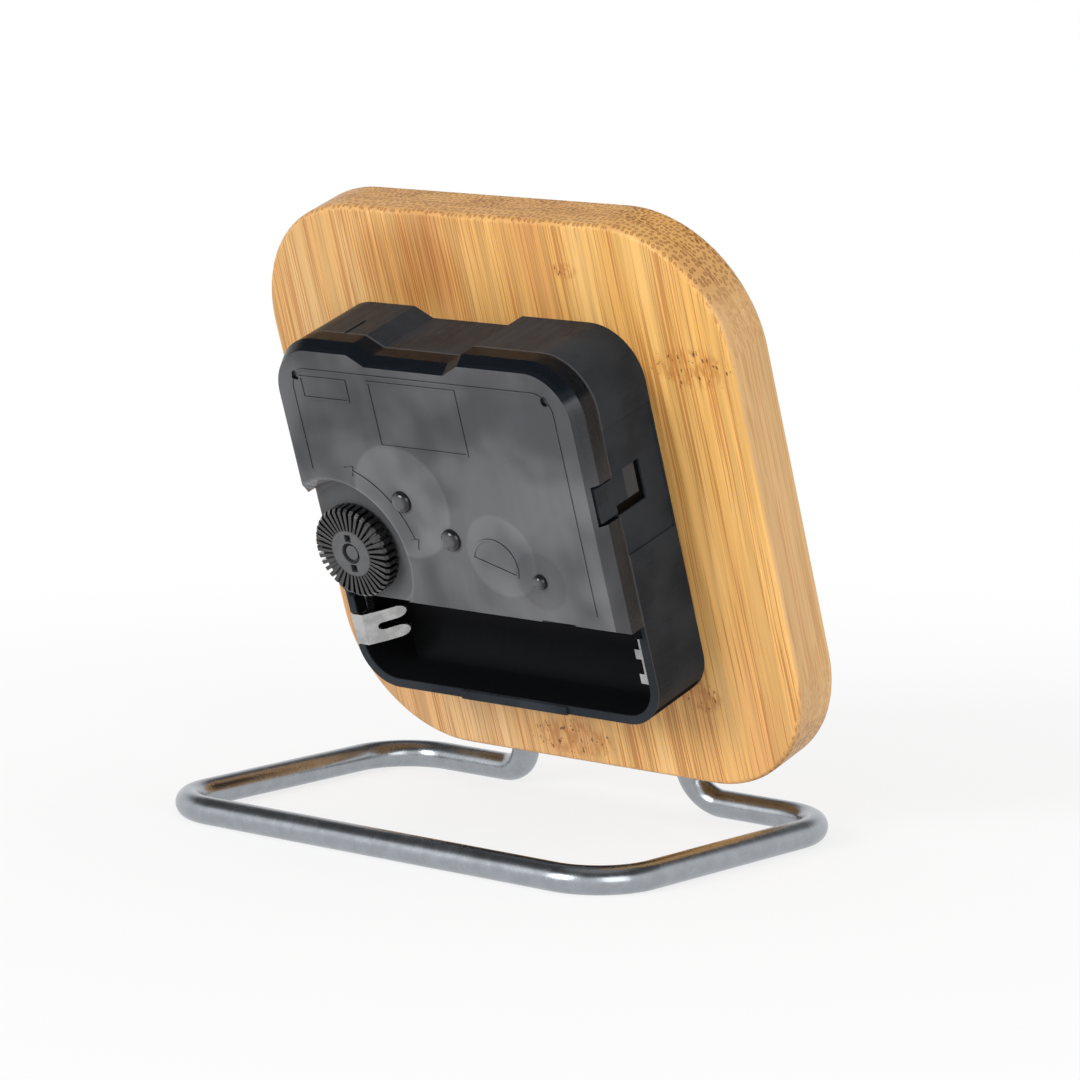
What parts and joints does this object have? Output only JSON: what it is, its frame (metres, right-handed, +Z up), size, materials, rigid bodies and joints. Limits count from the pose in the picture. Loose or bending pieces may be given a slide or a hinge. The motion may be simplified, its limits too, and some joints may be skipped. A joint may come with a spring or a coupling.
{
  "type": "desk clock",
  "caption": "Square wooden desk clock with rounded corners, leaning back on a bent wire stand, with a small quartz movement on its back.",
  "frame": {"origin": "on the desk, under the middle of the clock's width and depth", "axes": "+Z up, the dial faces -Y and leans back towards +Y, +X to the right as seen from the dial side"},
  "size_m": [0.0866, 0.0546, 0.0891],
  "materials": {
    "bamboo_board": "satin lacquered bamboo",
    "cannon_pinion": "blue moulding",
    "centre_wheel": "natural moulding",
    "circuit_board": "phenolic sheet with a sealed chip",
    "coil_bobbin": "natural moulding",
    "coil_core": "stamped bar",
    "coil_winding": "fine enamelled copper wire",
    "dial_washer": "stamped",
    "hex_nut": "turned",
    "hour_hand": "black paint",
    "hour_marks": "dark inlay",
    "hour_wheel": "natural moulding",
    "middle_wheel": "natural moulding",
    "minute_hand": "black paint",
    "movement_case": "satin black moulding",
    "movement_cover": "smoked transparent moulding",
    "negative_contact": "nickel plated strip",
    "positive_contact": "nickel plated strip",
    "quarter_numerals": "dark inlay",
    "quartz_crystal": "drawn can",
    "reduction_wheel": "natural moulding",
    "rotor": "bonded magnet with a moulded arbor",
    "rubber_gasket": "matte",
    "second_hand": "red paint",
    "second_wheel": "natural moulding on a steel arbor",
    "setting_knob": "ribbed black moulding",
    "stator": "stamped sheet",
    "third_wheel": "natural moulding",
    "threaded_bushing": "turned",
    "train_plate": "dark moulding",
    "wire_stand": "satin bent wire"
  },
  "bodies": {
    "clock": {"bamboo_board": "bamboo_board", "circuit_board": "circuit_board", "coil_bobbin": "coil_bobbin", "coil_core": "coil_core", "coil_winding": "coil_winding", "dial_washer": "dial_washer", "hex_nut": "hex_nut", "hour_marks": "hour_marks", "movement_case": "movement_case", "movement_cover": "movement_cover", "negative_contact": "negative_contact", "positive_contact": "positive_contact", "quarter_numerals": "quarter_numerals", "quartz_crystal": "quartz_crystal", "rubber_gasket": "rubber_gasket", "stator": "stator", "threaded_bushing": "threaded_bushing", "train_plate": "train_plate", "wire_stand": "wire_stand"},
    "seconds": {"second_wheel": "second_wheel", "second_hand": "second_hand"},
    "middle": {"middle_wheel": "middle_wheel"},
    "rotor": {"rotor": "rotor"},
    "third": {"third_wheel": "third_wheel"},
    "centre": {"centre_wheel": "centre_wheel"},
    "minutes": {"cannon_pinion": "cannon_pinion", "minute_hand": "minute_hand"},
    "reduction": {"reduction_wheel": "reduction_wheel"},
    "hours": {"hour_wheel": "hour_wheel", "hour_hand": "hour_hand"},
    "knob": {"setting_knob": "setting_knob"}
  },
  "joints": [
    {"name": "seconds_spin", "type": "hinge", "parent": "clock", "child": "seconds", "pos_m": [0.0016, -0.00686, 0.04637], "axis": [0, 0.9521, -0.3057], "continuous": true},
    {"name": "middle_spin", "type": "hinge", "parent": "clock", "child": "middle", "pos_m": [-0.0071, -0.00735, 0.04484], "axis": [0, 0.9521, -0.3057], "continuous": true},
    {"name": "rotor_spin", "type": "hinge", "parent": "clock", "child": "rotor", "pos_m": [-0.0135, -0.0083, 0.04189], "axis": [0, 0.9521, -0.3057], "continuous": true},
    {"name": "third_spin", "type": "hinge", "parent": "clock", "child": "third", "pos_m": [0.0095, -0.00533, 0.05113], "axis": [0, 0.9521, -0.3057], "continuous": true},
    {"name": "centre_spin", "type": "hinge", "parent": "clock", "child": "centre", "pos_m": [0.0016, -0.00686, 0.04637], "axis": [0, 0.9521, -0.3057], "continuous": true},
    {"name": "minutes_spin", "type": "hinge", "parent": "clock", "child": "minutes", "pos_m": [0.0016, -0.00686, 0.04637], "axis": [0, 0.9521, -0.3057], "continuous": true},
    {"name": "reduction_spin", "type": "hinge", "parent": "clock", "child": "reduction", "pos_m": [0.01262, -0.00705, 0.04577], "axis": [0, 0.9521, -0.3057], "continuous": true},
    {"name": "hours_spin", "type": "hinge", "parent": "clock", "child": "hours", "pos_m": [0.0016, -0.00686, 0.04637], "axis": [0, 0.9521, -0.3057], "continuous": true},
    {"name": "knob_spin", "type": "hinge", "parent": "clock", "child": "knob", "pos_m": [0.0228, -0.00836, 0.0417], "axis": [0, 0.9521, -0.3057], "continuous": true}
  ],
  "couplings": [
    {"joint": "middle_spin", "follows": "seconds_spin", "ratio": -5},
    {"joint": "rotor_spin", "follows": "seconds_spin", "ratio": 30},
    {"joint": "third_spin", "follows": "seconds_spin", "ratio": -0.125},
    {"joint": "centre_spin", "follows": "seconds_spin", "ratio": 0.016667},
    {"joint": "reduction_spin", "follows": "minutes_spin", "ratio": -0.33333},
    {"joint": "hours_spin", "follows": "minutes_spin", "ratio": 0.083333},
    {"joint": "knob_spin", "follows": "minutes_spin", "ratio": 1}
  ]
}
